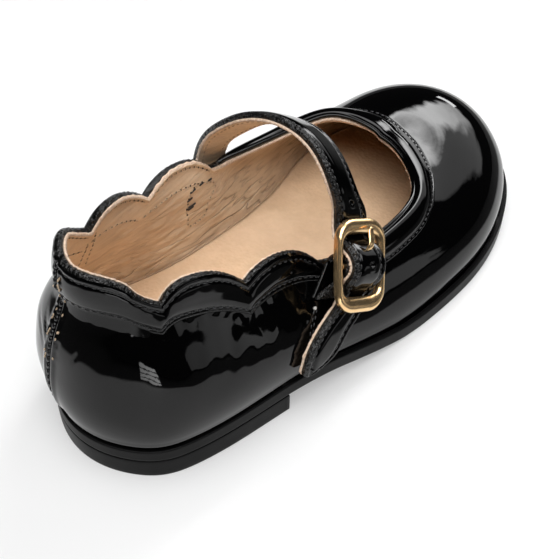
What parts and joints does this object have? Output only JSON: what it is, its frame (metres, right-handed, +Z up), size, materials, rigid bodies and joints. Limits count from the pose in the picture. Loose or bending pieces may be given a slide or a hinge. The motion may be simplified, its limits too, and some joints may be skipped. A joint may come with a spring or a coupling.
{
  "type": "child's mary jane shoe",
  "caption": "Child's low-heeled Mary Jane shoe with a scalloped collar, an open round throat, a padded insole and a buckled instep strap, standing empty.",
  "frame": {"origin": "on the floor under the centre of the shoe's bounding box", "axes": "+X towards the toe, +Y towards the inner (medial) side, +Z up"},
  "size_m": [0.1506, 0.0678, 0.0585],
  "materials": {
    "black_patent_leather": "glossy patent",
    "tan_leather": "matte",
    "black_rubber": "satin",
    "polished_brass": "polished"
  },
  "bodies": {
    "root": {"outsole": "black_rubber", "heel_block": "black_rubber", "upper": "black_patent_leather", "insole": "tan_leather", "strap": "black_patent_leather", "chape": "black_patent_leather", "buckle_frame": "polished_brass", "buckle_prong": "polished_brass"}
  },
  "joints": []
}
